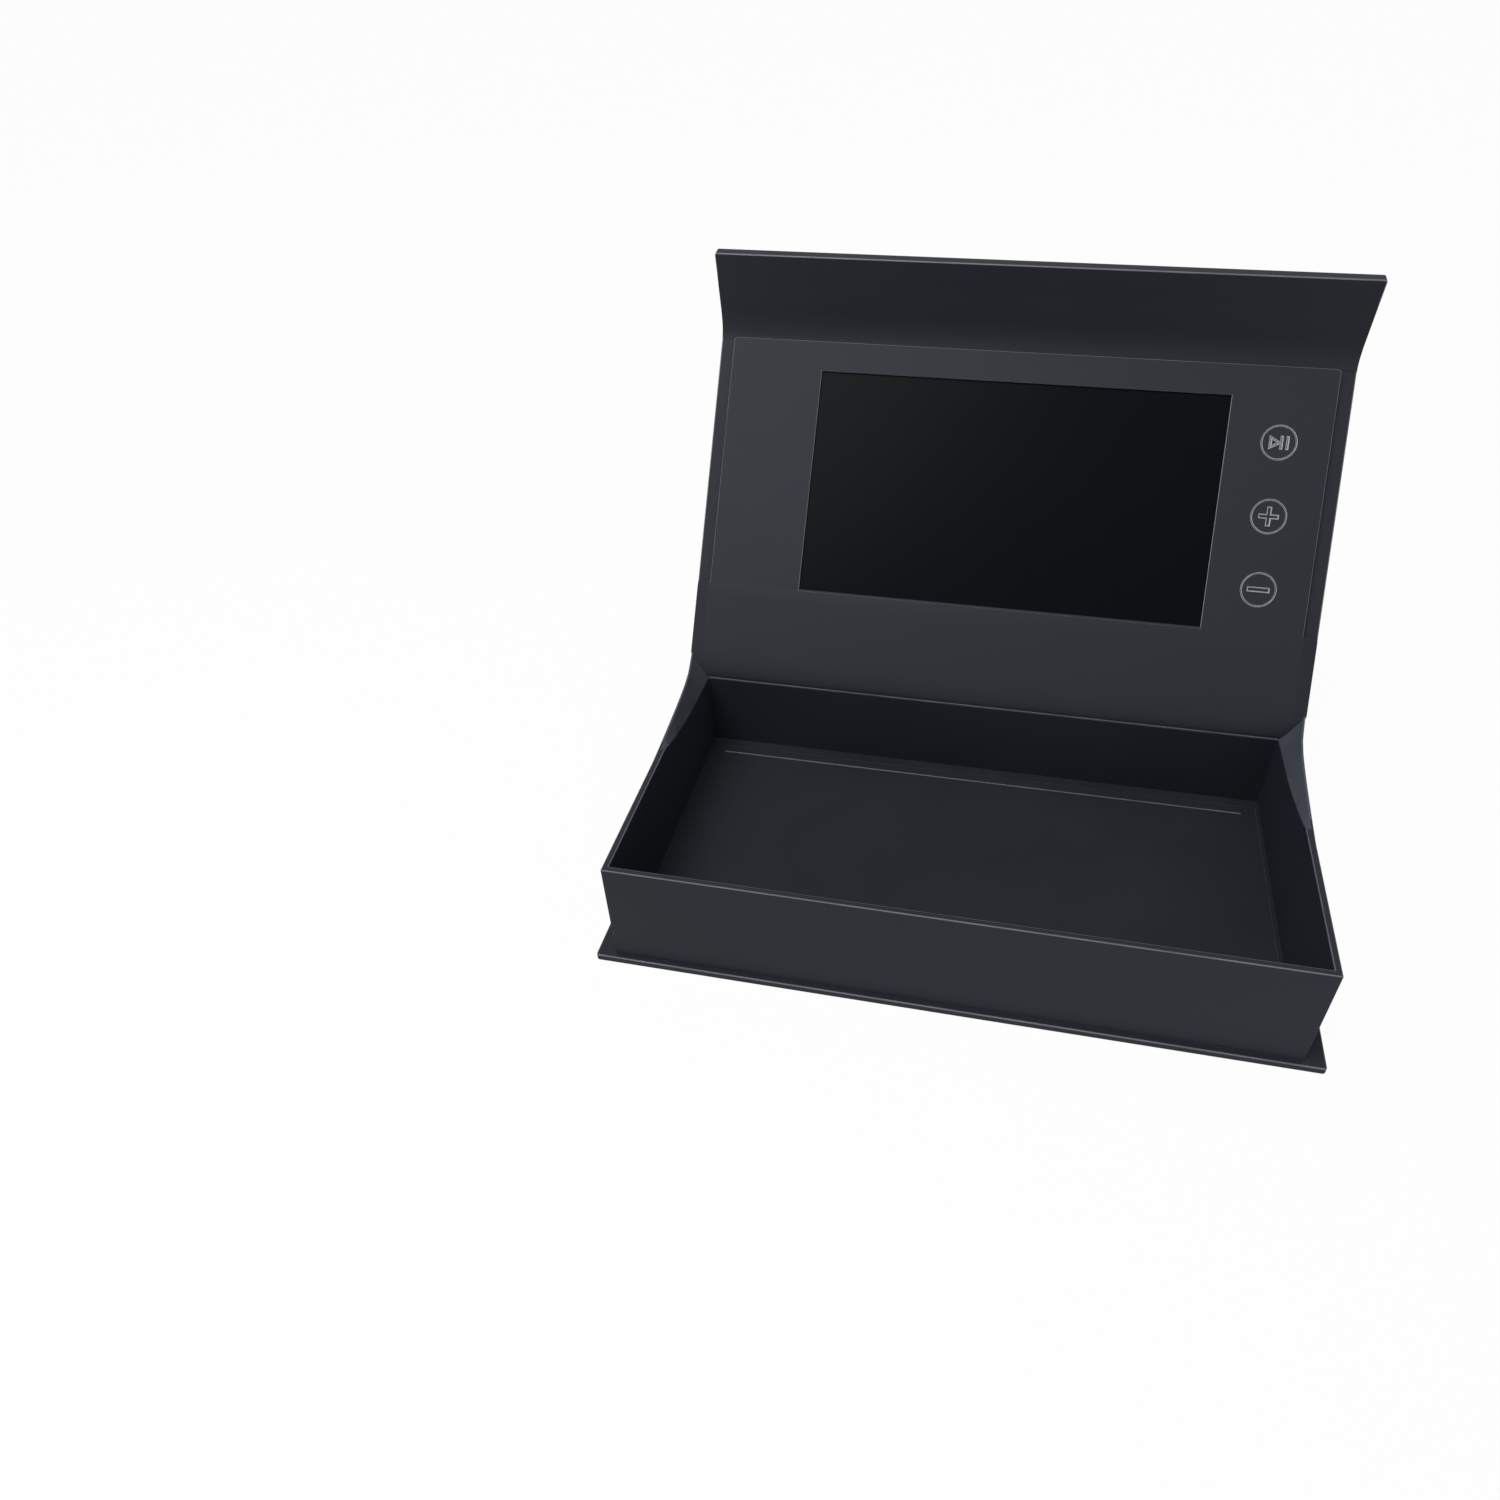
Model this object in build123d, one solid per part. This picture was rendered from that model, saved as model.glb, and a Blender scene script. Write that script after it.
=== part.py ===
from build123d import *

import os

# A presentation box of wrapped greyboard with a video player in its lid.
#
# The frame: +X to the right, +Y to the back, +Z up. The origin is the middle of the
# case's underside. The lid stands open, leaning back from its hinge, and its flap is
# folded part of the way towards the front.

# --- screen and the raised panel round it: they set the size of the whole box ----------
screen_width = 154.08
screen_height = 85.92
screen_start = 27.54  # the screen's lower edge, along the lid from the hinge axis
panel_side = 36.71  # of the panel beside the screen, with the buttons on the right
panel_bottom = 3.2  # along the lid, from the hinge axis
panel_frame_thickness = 1.3
panel_cover_thickness = 1.0
lcd_border_side = 5.4
lcd_border_end = 7.0
lcd_clearance = 1.04  # between the display's end and the bay's
lcd_cell_thickness = 1.2
backlight_thickness = 2.3

# --- lid: outer board and spacer with the electronics' bay -----------------------------
lid_board_thickness = 2.5
spacer_thickness = 4.5
lid_margin_side = 5.75  # of the lid beside the panel
lid_margin_end = 1.7  # of the lid beyond the panel
bay_margin_side = 4.79  # of the panel beside the bay
bay_margin_end = 3.3  # of the panel beyond the bay
bay_bottom = 8.0

# --- case: base board, spine, tray -----------------------------------------------------
base_thickness = 2.7
spine_thickness = 2.7
cover_overhang = 6.75  # of the base on each side of the tray
tray_height = 41.0
back_wall_height = 33.0  # lower than the rest, to leave room for the paper hinge
wall_thickness = 2.0
floor_thickness = 2.0
front_overhang = 1.8  # of the base in front of the tray
corner_radius = 1.0  # of the boards' wrapped corners, seen from above
edge_radius = 0.5  # of every wrapped edge
liner_thickness = 1.0
liner_margin_side = 1.8
liner_margin_back = 5.5

# --- lid hinge ------------------------------------------------------------------------
hinge_behind_spine = 0.8  # hinge axis behind the spine's back face
hinge_above_tray = 1.4  # hinge axis above the tray's rim
lid_lean = 36.25  # degrees back from upright
hinge_to_lid_face = 2.0  # the lid's inner face lies this far behind the axis

# --- what holds the display -------------------------------------------------------------
pad_width = 6.0
pad_inset = 8.0
flex_width = 24.0
flex_thickness = 0.3
flex_gap = 0.4
flex_hold = 3.0  # of the flat cable on each board that it joins

# --- buttons --------------------------------------------------------------------------
button_pitch = 26.9
button_radius = 6.0
button_gap = 0.2  # round each cap
button_travel = 0.4
symbol_depth = 0.35
symbol_line = 0.55
plus_arm = 3.4
plus_line = 1.3
minus_length = 7.6
minus_line = 1.5
play_height = 4.6
play_width = 3.0
play_left = 3.6  # the triangle's upright side, left of the cap's middle
first_bar = 0.9  # the pause bars, right of the cap's middle
second_bar = 3.0
bar_width = 0.66
switch_size = 6.0
switch_height = 1.5
switch_bottom = 0.3  # of the switch under its bore
plunger_radius = 1.6
plunger_clearance = 0.1  # under the plunger when it is pressed in
button_board_end = 7.5  # of the board beyond its outer buttons

# --- circuit boards ---------------------------------------------------------------------
column_gap = 3.2  # on each side of what lies in the bay beside the display
board_thickness = 1.0
post_width = 3.0  # of the ribs that hold a circuit board off the bay's floor
post_inset = 1.0
post_side = 2.0
driver_gap = 4.0  # between the battery and the driver board
driver_end_gap = 2.5  # between the driver board and the bay's end
chip_size = 9.0
chip_height = 1.2
chip_start = 7.5
chip_pitch = 14.0
sensor_size = 3.0
sensor_height = 1.0
sensor_inset = 1.0
usb_width = 7.6
usb_height = 2.8
usb_depth = 6.0
usb_start = 10.0  # the socket's middle, from the driver board's lower end
usb_wall = 0.35
usb_clearance = 0.2
tongue_thickness = 0.6
tongue_recess = 2.0

# --- battery and speaker --------------------------------------------------------------
battery_length = 56.0
battery_thickness = 4.2
battery_end_gap = 6.0
battery_radius = 1.4
speaker_radius = 9.5
speaker_height = 4.0
speaker_end_gap = 3.5
speaker_rim = 1.2
speaker_cone_depth = 1.4

# --- flap -----------------------------------------------------------------------------
flap_gap = 2.5  # from the lid's end to the flap's axis
flap_clearance = 1.2  # between the closed flap's axis and the front of the base
flap_fold = 47.6  # degrees from flat with the lid, towards the front
flap_start = 3.2  # from the flap's axis to its board
flap_length = 29.8  # from the flap's axis to its free edge
flap_thickness = 4.0
flap_liner_thickness = 0.3

# --- magnets --------------------------------------------------------------------------
magnet_radius = 5.0
magnet_thickness = 1.5
magnet_inset = 47.5  # from the flap's side edge to the magnet's middle
magnet_along_flap = 19.0
magnet_clearance = 0.05
trigger_magnet_radius = 3.0
trigger_magnet_inset = 16.75  # from the tray's left side
trigger_magnet_drop = 6.0  # its middle, below the tray's rim

# --- paper hinges ------------------------------------------------------------------------
paper_thickness = 0.3
joint_gap = 0.05  # between the end of a paper hinge and the board that it meets
hinge_liner_side_gap = 1.0
wrap_on_spine = 13.0  # of the outer paper flat on the spine
wrap_turn_drop = 1.0  # below the spine's top, where that paper turns away
wrap_on_lid = 9.0
wrap_on_flap = 5.0
lid_liner_bend = 0.6
lid_wrap_bend = 2.2
flap_liner_bend = 2.2
flap_wrap_bend = 1.2
wrap_corner = 0.8  # past the lid's end, and before the flap's board, where the wrap turns

# --- scooped rims of the side walls, each backed by an ear of the wrap --------------------
scoop_length = 66.0  # from the back wall to where the rim is at its full height
scoop_low_length = 28.0  # the part of that along which the rim is at its lowest
scoop_start_slope = -0.4
scoop_wall_left = 0.5  # of the wall's thickness, left outside the scoop

# --- the lid's sizes that follow --------------------------------------------------------
screen_middle = screen_start + screen_height / 2
lcd_width = screen_width + 2 * lcd_border_side
lcd_length = screen_height + 2 * lcd_border_end
panel_width = screen_width + 2 * panel_side
bay_width = panel_width - 2 * bay_margin_side
bay_top = screen_middle + lcd_length / 2 + lcd_clearance
panel_top = bay_top + bay_margin_end
lid_length = panel_top + lid_margin_end  # from the hinge axis to the lid's free end
cover_width = panel_width + 2 * lid_margin_side  # of the base, spine, lid and flap
flap_axis_along = lid_length + flap_gap  # flap hinge, along the lid from its hinge axis
column_middle = (lcd_width + bay_width) / 4  # of the bay on each side of the display
column_width = (bay_width - lcd_width) / 2 - 2 * column_gap
inner_face = -hinge_to_lid_face  # the lid's inner face, in the lid's own frame
bay_floor = inner_face - spacer_thickness
cover_underside = inner_face + panel_frame_thickness
panel_face = cover_underside + panel_cover_thickness
lid_outside = bay_floor - lid_board_thickness
lcd_back = cover_underside - lcd_cell_thickness - backlight_thickness
button_x = column_middle
button_board_length = 2 * button_pitch + 2 * button_board_end
switch_top = cover_underside - button_travel
switch_base = switch_top - switch_height
button_board_back = switch_base - board_thickness
speaker_along = bay_bottom + speaker_end_gap + speaker_radius
battery_bottom = bay_bottom + battery_end_gap
driver_bottom = battery_bottom + battery_length + driver_gap
driver_top = bay_top - driver_end_gap
driver_x = -column_middle
driver_back = bay_floor + usb_height
driver_face = driver_back + board_thickness
usb_along = driver_bottom + usb_start

# --- the case's sizes that follow -------------------------------------------------------
case_depth = flap_axis_along - hinge_behind_spine - flap_clearance
tray_width = cover_width - 2 * cover_overhang
tray_depth = case_depth - front_overhang - spine_thickness
case_front = -case_depth / 2
tray_front = case_front + front_overhang
tray_back = tray_front + tray_depth
spine_back = tray_back + spine_thickness
tray_bottom = base_thickness
tray_top = tray_bottom + tray_height
floor_top = tray_bottom + floor_thickness
back_wall_top = tray_bottom + back_wall_height
spine_height = back_wall_top
tray_inner_width = tray_width - 2 * wall_thickness
hinge_y = spine_back + hinge_behind_spine
hinge_z = tray_top + hinge_above_tray
magnet_x = cover_width / 2 - magnet_inset
magnet_height = hinge_z + hinge_to_lid_face - magnet_along_flap
trigger_magnet_x = trigger_magnet_inset - tray_width / 2

# The lid's own frame: X as the part's, Y up the lid from the hinge axis, Z out of its
# inner face. The flap's own frame: Y up the flap from its axis, Z out of its inner face.
lid_place = Pos(0, hinge_y, hinge_z) * Rot(90 - lid_lean, 0, 0)
flap_place = lid_place * Pos(0, flap_axis_along, inner_face) * Rot(flap_fold, 0, 0)


def block(width, y0, y1, z0, z1, x=0.0):
    """A plain block, width wide about x, between two places along Y and along Z."""
    middle = Pos(x, (y0 + y1) / 2, (z0 + z1) / 2)
    return middle * Box(width, y1 - y0, z1 - z0)


def board(width, y0, y1, z0, z1):
    """A wrapped board: its four corners and both its faces' edges are rounded."""
    solid = block(width, y0, y1, z0, z1)
    round_corner = min(corner_radius, (y1 - y0) / 3)
    round_edge = min(edge_radius, (z1 - z0) / 3)
    solid = fillet(solid.edges().filter_by(Axis.Z), round_corner)
    top = solid.faces().sort_by(Axis.Z)[-1]
    bottom = solid.faces().sort_by(Axis.Z)[0]
    return fillet(top.edges() + bottom.edges(), round_edge)


def disc(radius, x, y, z0, z1):
    """A disc whose axis is Z."""
    return Pos(x, y, (z0 + z1) / 2) * Cylinder(radius, z1 - z0)


def paper_strip(corners, radius, width):
    """Paper along a line of (y, z) corners, rounded at each, and extruded along X."""
    line = FilletPolyline(*[(y, z) for y, z in corners], radius=radius)
    section = Plane.YZ * trace(line, paper_thickness)
    return extrude(section, amount=width / 2, both=True)


def on_lid(y, z):
    """The part's (y, z) of a point in the lid's own frame."""
    point = (lid_place * Pos(0, y, z)).position
    return point.Y, point.Z


def on_flap(y, z):
    """The part's (y, z) of a point in the flap's own frame."""
    point = (flap_place * Pos(0, y, z)).position
    return point.Y, point.Z


# --- case -----------------------------------------------------------------------------
def base_board():
    return board(cover_width, case_front, tray_back, 0, base_thickness)


def spine_board():
    solid = block(cover_width, tray_back, spine_back, 0, spine_height)
    back_edges = solid.faces().sort_by(Axis.Y)[-1].edges()
    return fillet(back_edges, min(edge_radius, spine_thickness / 3))


def tray_floor():
    y0 = tray_front + wall_thickness
    y1 = tray_back - wall_thickness
    return block(tray_inner_width, y0, y1, tray_bottom, floor_top)


def tray_front_wall():
    y1 = tray_front + wall_thickness
    wall = block(tray_width, tray_front, y1, tray_bottom, tray_top)
    for pocket in case_magnet_discs(magnet_clearance):
        wall -= pocket
    return wall - trigger_disc(magnet_clearance)


def tray_back_wall():
    y0 = tray_back - wall_thickness
    return block(tray_inner_width, y0, tray_back, tray_bottom, back_wall_top)


def rim_scoop():
    """What the right wall's inner top edge loses near the hinge, back wall and all."""
    y_full = tray_back - wall_thickness - scoop_length
    y_low = tray_back - wall_thickness - scoop_low_length
    start = (y_full, tray_top)
    low = (y_low, back_wall_top)
    curve = Spline(start, low, tangents=[(1, scoop_start_slope), (1, 0)])
    rest = Polyline(low, (tray_back, back_wall_top), (tray_back, tray_top), start)
    outline = Plane.YZ * make_face(curve + rest)
    inner_x = tray_width / 2 - wall_thickness
    return Pos(inner_x, 0, 0) * extrude(outline, amount=wall_thickness - scoop_wall_left)


def tray_side_wall(side):
    x = (tray_width - wall_thickness) / 2
    y0 = tray_front + wall_thickness
    wall = block(wall_thickness, y0, tray_back, tray_bottom, tray_top, x) - rim_scoop()
    return wall if side > 0 else mirror(wall, about=Plane.YZ)


def hinge_ear(side):
    """The wrap's ear that slopes from a side wall's full rim down into its scoop."""
    inner = tray_width / 2 - wall_thickness
    outer = tray_width / 2 - scoop_wall_left
    slope = Plane.XZ * make_face(
        Polyline((inner, back_wall_top), (outer, back_wall_top), (outer, tray_top), close=True)
    )
    wedge = Pos(0, tray_front, 0) * extrude(slope, amount=-tray_depth)
    ear = rim_scoop() & wedge
    return ear if side > 0 else mirror(ear, about=Plane.YZ)


def tray_liner():
    y0 = tray_front + wall_thickness
    y1 = tray_back - wall_thickness - liner_margin_back
    width = tray_inner_width - 2 * liner_margin_side
    return block(width, y0, y1, floor_top, floor_top + liner_thickness)


def wall_disc(radius, x, z, clearance):
    """A magnet, or its pocket, let into the front wall from the tray's inside."""
    depth = magnet_thickness + clearance
    y = tray_front + wall_thickness - depth / 2
    return Pos(x, y, z) * Rot(90, 0, 0) * Cylinder(radius + clearance, depth)


def case_magnet_discs(clearance=0.0):
    return [
        wall_disc(magnet_radius, side * magnet_x, magnet_height, clearance)
        for side in (-1, 1)
    ]


def trigger_disc(clearance=0.0):
    z = tray_top - trigger_magnet_drop
    return wall_disc(trigger_magnet_radius, trigger_magnet_x, z, clearance)


# --- lid, in its own frame ------------------------------------------------------------
def lid_outer_board():
    return board(cover_width, 0, lid_length, lid_outside, bay_floor)


def lid_spacer():
    frame = block(cover_width, 0, lid_length, bay_floor, inner_face)
    upright = frame.edges().filter_by(Axis.Z)
    frame = fillet(upright, min(corner_radius, lid_length / 3))
    rim = frame.faces().sort_by(Axis.Z)[-1].edges()
    frame = fillet(rim, min(edge_radius, spacer_thickness / 3))
    frame -= block(bay_width, bay_bottom, bay_top, bay_floor, inner_face)
    return frame - usb_hole()


def usb_hole():
    """The way out of the lid's left edge for the charging plug."""
    length = (cover_width - bay_width) / 2 + edge_radius
    x = -(cover_width - length) / 2 - edge_radius
    height = usb_height + usb_clearance
    width = usb_width + 2 * usb_wall + 2 * usb_clearance
    y0 = usb_along - width / 2
    return block(length + edge_radius, y0, y0 + width, bay_floor, bay_floor + height, x)


def panel_frame():
    ring = block(panel_width, panel_bottom, panel_top, inner_face, cover_underside)
    ring = fillet(ring.edges().filter_by(Axis.Z), corner_radius)
    return ring - block(bay_width, bay_bottom, bay_top, inner_face, cover_underside)


def panel_cover():
    cover = block(panel_width, panel_bottom, panel_top, cover_underside, panel_face)
    cover = fillet(cover.edges().filter_by(Axis.Z), corner_radius)
    rim = cover.faces().sort_by(Axis.Z)[-1].edges()
    cover = fillet(rim, min(edge_radius, panel_cover_thickness / 3))
    y0 = screen_middle - screen_height / 2
    cover -= block(screen_width, y0, y0 + screen_height, cover_underside, panel_face)
    for place in button_places():
        cover -= disc(button_radius + button_gap, button_x, place, cover_underside, panel_face)
    return cover


def lcd_block(z0, z1):
    y0 = screen_middle - lcd_length / 2
    return block(lcd_width, y0, y0 + lcd_length, z0, z1)


def lcd_cell():
    return lcd_block(cover_underside - lcd_cell_thickness, cover_underside)


def lcd_backlight():
    return lcd_block(lcd_back, cover_underside - lcd_cell_thickness)


def lcd_pads():
    """Two foam strips that hold the display up against the panel's cover."""
    y_low = screen_middle - lcd_length / 2 + pad_inset
    y_high = screen_middle + lcd_length / 2 - pad_inset - pad_width
    return [
        block(lcd_width - 2 * pad_inset, y, y + pad_width, bay_floor, lcd_back)
        for y in (y_low, y_high)
    ]


def display_flex():
    """The display's flat cable, from under the backlight to the driver board."""
    x0 = driver_x + column_width / 2 - flex_hold
    x1 = -lcd_width / 2 + pad_inset
    z1 = min(driver_back, lcd_back) - flex_gap
    y0 = usb_along
    y1 = y0 + flex_width
    cable = block(x1 - x0, y0, y1, z1 - flex_thickness, z1, (x0 + x1) / 2)
    cable += block(flex_hold, y0, y1, z1, driver_back, x0 + flex_hold / 2)
    return cable + block(flex_hold, y0, y1, z1, lcd_back, x1 - flex_hold / 2)


def button_places():
    """Along the lid: play and pause at the top, then louder, then quieter."""
    return [screen_middle + step * button_pitch for step in (1, 0, -1)]


def circuit_board(x, y0, y1, back, face):
    """A circuit board on two ribs that stand on the bay's floor."""
    slab = block(column_width, y0, y1, back, face, x)
    for y in (y0 + post_inset + post_width / 2, y1 - post_inset - post_width / 2):
        low, high = y - post_width / 2, y + post_width / 2
        slab += block(column_width - 2 * post_side, low, high, bay_floor, back, x)
    return slab


def button_board():
    y0 = screen_middle - button_board_length / 2
    y1 = y0 + button_board_length
    return circuit_board(button_x, y0, y1, button_board_back, switch_base)


def button_switches():
    """Three square switches, each with a bore for its plunger."""
    bodies = []
    for place in button_places():
        y0, y1 = place - switch_size / 2, place + switch_size / 2
        body = block(switch_size, y0, y1, switch_base, switch_top - button_travel, button_x)
        radius = plunger_radius + button_gap / 2
        body -= disc(radius, button_x, place, switch_base + switch_bottom, switch_top)
        bodies.append(body)
    return bodies


def plunger(place):
    bottom = switch_base + switch_bottom + button_travel + plunger_clearance
    return disc(plunger_radius, button_x, place, bottom, cover_underside)


def button_cap(place):
    return disc(button_radius, button_x, place, cover_underside, panel_face)


def engraving(shape):
    """A flat shape, cut down from the panel's face."""
    return extrude(Pos(0, 0, panel_face - symbol_depth) * shape, amount=symbol_depth)


def play_button():
    place = button_places()[0]
    left = button_x - play_left
    outline = Polyline(
        (left, place - play_height / 2),
        (left, place + play_height / 2),
        (left + play_width, place),
        close=True,
    )
    triangle = make_face(outline)
    groove = triangle - offset(triangle, -symbol_line)
    cap = button_cap(place) - engraving(groove)
    for x in (first_bar, second_bar):
        cap -= engraving(Pos(button_x + x, place) * Rectangle(bar_width, play_height))
    return cap


def volume_up_button():
    place = button_places()[1]
    cross = Rectangle(2 * plus_arm, plus_line) + Rectangle(plus_line, 2 * plus_arm)
    return button_cap(place) - engraving(Pos(button_x, place) * cross)


def volume_down_button():
    place = button_places()[2]
    dash = Pos(button_x, place) * Rectangle(minus_length, minus_line)
    return button_cap(place) - engraving(dash)


def driver_board():
    return circuit_board(driver_x, driver_bottom, driver_top, driver_back, driver_face)


def driver_chips():
    """The player's chip and its memory, on the board's face."""
    chips = []
    for step in range(2):
        y0 = driver_bottom + chip_start + step * chip_pitch
        top = driver_face + chip_height
        chips.append(block(chip_size, y0, y0 + chip_size, driver_face, top, driver_x))
    return chips


def lid_sensor():
    """The sensor that wakes the player when the lid leaves the trigger magnet."""
    y1 = driver_top - sensor_inset
    top = driver_face + sensor_height
    return block(sensor_size, y1 - sensor_size, y1, driver_face, top, driver_x)


def usb_socket():
    """A charging socket, a folded shell with a tongue, in the bay's left side."""
    x = (usb_depth - bay_width) / 2
    half = usb_width / 2
    z0, z1 = bay_floor, driver_back
    low, high = usb_along - half, usb_along + half
    shell = block(usb_depth, low - usb_wall, high + usb_wall, z0, z1, x)
    x_hollow = x - usb_wall / 2
    hollow = block(usb_depth - usb_wall, low, high, z0 + usb_wall, z1 - usb_wall, x_hollow)
    middle = (z0 + z1) / 2
    z_low, z_high = middle - tongue_thickness / 2, middle + tongue_thickness / 2
    x_tongue = x + tongue_recess / 2
    y0, y1 = usb_along - half / 2, usb_along + half / 2
    return shell - hollow + block(usb_depth - tongue_recess, y0, y1, z_low, z_high, x_tongue)


def battery():
    y1 = battery_bottom + battery_length
    top = bay_floor + battery_thickness
    pouch = block(column_width, battery_bottom, y1, bay_floor, top, driver_x)
    return fillet(pouch.edges().filter_by(Axis.Y), min(battery_radius, battery_thickness / 3))


def speaker():
    top = bay_floor + speaker_height
    drum = disc(speaker_radius, button_x, speaker_along, bay_floor, top)
    cone = Pos(button_x, speaker_along, top - speaker_cone_depth / 2) * Cone(
        speaker_radius / 3, speaker_radius - speaker_rim, speaker_cone_depth
    )
    return drum - cone


# --- flap, in its own frame -----------------------------------------------------------
def flap_magnet_discs(clearance=0.0):
    z1 = -flap_liner_thickness
    z0 = z1 - magnet_thickness - clearance
    radius = magnet_radius + clearance
    return [disc(radius, side * magnet_x, magnet_along_flap, z0, z1) for side in (-1, 1)]


def flap_board():
    solid = block(cover_width, flap_start, flap_length, -flap_thickness, -flap_liner_thickness)
    solid = fillet(solid.edges().filter_by(Axis.Z), corner_radius)
    outside = solid.faces().sort_by(Axis.Z)[0].edges()
    solid = fillet(outside, min(edge_radius, flap_thickness / 3))
    for pocket in flap_magnet_discs(magnet_clearance):
        solid -= pocket
    return solid


def flap_liner():
    liner = block(cover_width, flap_start, flap_length, -flap_liner_thickness, 0)
    return fillet(liner.edges().filter_by(Axis.Z), corner_radius)


# --- paper hinges, at rest --------------------------------------------------------------
def lid_hinge_liner():
    """The paper inside the lid's hinge, from the back wall's rim up to the raised panel."""
    half = paper_thickness / 2
    level = back_wall_top + half
    start = (tray_back - wall_thickness, level)
    zero_y, zero_z = on_lid(0, inner_face + half)
    one_y, one_z = on_lid(1, inner_face + half)
    fall = (level - zero_z) / (one_z - zero_z)
    turn = (zero_y + fall * (one_y - zero_y), level)
    end = on_lid(panel_bottom - joint_gap, inner_face + half)
    width = tray_inner_width - 2 * hinge_liner_side_gap
    return paper_strip([start, turn, end], lid_liner_bend, width)


def lid_hinge_wrap():
    """The wrap outside the lid's hinge, from the spine's back to the lid's outside."""
    half = paper_thickness / 2
    back = spine_back + half
    turn = (back, spine_height - wrap_turn_drop)
    low = (back, spine_height - wrap_turn_drop - wrap_on_spine)
    corner = on_lid(-half, lid_outside - half)
    end = on_lid(wrap_on_lid, lid_outside - half)
    return paper_strip([low, turn, corner, end], lid_wrap_bend, cover_width)


def flap_hinge_liner():
    """The paper inside the flap's hinge, between the lid's end and the flap's board."""
    half = paper_thickness / 2
    start = on_lid(lid_length, inner_face - half)
    turn = on_lid(flap_axis_along, inner_face - half)
    end = on_flap(flap_start - joint_gap, -half)
    return paper_strip([start, turn, end], flap_liner_bend, cover_width)


def flap_hinge_wrap():
    """The wrap outside the flap's hinge, from the lid's outside to the flap's."""
    half = paper_thickness / 2
    start = on_lid(lid_length - wrap_on_flap, lid_outside - half)
    corner = on_lid(lid_length + wrap_corner, lid_outside - half)
    turn = on_flap(wrap_corner, -flap_thickness - half)
    end = on_flap(flap_start + wrap_on_flap, -flap_thickness - half)
    return paper_strip([start, corner, turn, end], flap_wrap_bend, cover_width)


case_parts = {
    "base_board": base_board(),
    "spine_board": spine_board(),
    "tray_floor": tray_floor(),
    "tray_front_wall": tray_front_wall(),
    "tray_back_wall": tray_back_wall(),
    "tray_left_wall": tray_side_wall(-1),
    "tray_right_wall": tray_side_wall(1),
    "tray_liner": tray_liner(),
    "case_magnets": case_magnet_discs(),
    "trigger_magnet": trigger_disc(),
    "left_hinge_ear": hinge_ear(-1),
    "right_hinge_ear": hinge_ear(1),
    "lid_hinge_liner": lid_hinge_liner(),
    "lid_hinge_wrap": lid_hinge_wrap(),
    "flap_hinge_liner": flap_hinge_liner(),
    "flap_hinge_wrap": flap_hinge_wrap(),
}
lid_parts = {
    "lid_outer_board": lid_outer_board(),
    "lid_spacer": lid_spacer(),
    "panel_frame": panel_frame(),
    "panel_cover": panel_cover(),
    "lcd_cell": lcd_cell(),
    "lcd_backlight": lcd_backlight(),
    "lcd_pads": lcd_pads(),
    "display_flex": display_flex(),
    "button_board": button_board(),
    "button_switches": button_switches(),
    "driver_board": driver_board(),
    "driver_chips": driver_chips(),
    "lid_sensor": lid_sensor(),
    "usb_socket": usb_socket(),
    "battery": battery(),
    "speaker": speaker(),
    "play_button": play_button(),
    "volume_up_button": volume_up_button(),
    "volume_down_button": volume_down_button(),
    "play_plunger": plunger(button_places()[0]),
    "volume_up_plunger": plunger(button_places()[1]),
    "volume_down_plunger": plunger(button_places()[2]),
}
flap_parts = {
    "flap_board": flap_board(),
    "flap_liner": flap_liner(),
    "flap_magnets": flap_magnet_discs(),
}

places = {Pos(0, 0, 0): case_parts, lid_place: lid_parts, flap_place: flap_parts}
os.makedirs("parts", exist_ok=True)
for place, parts in places.items():
    for name, shape in parts.items():
        solids = shape if isinstance(shape, list) else shape.solids()
        placed = [place * solid for solid in solids]
        whole = placed[0] if len(placed) == 1 else Compound(children=placed)
        export_step(whole, f"parts/{name}.step")
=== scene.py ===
import logging
import math
from collections.abc import Callable
from dataclasses import dataclass
from enum import Enum
from functools import partial

import bmesh
import bpy
from mathutils import Matrix, Vector


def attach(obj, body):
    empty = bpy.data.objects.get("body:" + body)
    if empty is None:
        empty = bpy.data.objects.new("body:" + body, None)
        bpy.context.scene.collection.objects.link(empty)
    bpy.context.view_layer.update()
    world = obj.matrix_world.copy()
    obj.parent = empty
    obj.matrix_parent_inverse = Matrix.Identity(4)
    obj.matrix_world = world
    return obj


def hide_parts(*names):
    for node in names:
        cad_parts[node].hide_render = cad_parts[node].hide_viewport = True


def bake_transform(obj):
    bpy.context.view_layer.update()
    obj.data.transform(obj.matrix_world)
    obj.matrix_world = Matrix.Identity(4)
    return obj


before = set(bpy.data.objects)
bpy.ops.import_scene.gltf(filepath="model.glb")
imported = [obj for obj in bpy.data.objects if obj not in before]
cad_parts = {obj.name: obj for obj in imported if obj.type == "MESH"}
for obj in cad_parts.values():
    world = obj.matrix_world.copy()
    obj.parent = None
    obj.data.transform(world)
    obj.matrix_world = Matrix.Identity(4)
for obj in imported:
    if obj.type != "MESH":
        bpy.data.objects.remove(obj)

# An open presentation box of wrapped board, with a video player in its lid. Pieces are
# modelled in millimetres: the case's in the box's frame, the lid's in a frame whose Y runs
# up the lid and Z out of its inner face, and the flap's in one like it.

log = logging.getLogger("video_box")
MM = 0.001
WELD = 0.001  # millimetres between points that are one
SMOOTH_ANGLE = 20.0  # degrees between faces that shade as one
ALONG = 0.9  # a unit vector's share from which it counts as lying along an axis
Point = tuple[float, float, float]
Side = tuple[float, float]
Test = Callable[[Vector, Vector], bool]
Adder = Callable[..., bpy.types.Node]
Values = dict[str | int, object]
Host = bpy.types.Material | bpy.types.World


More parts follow.
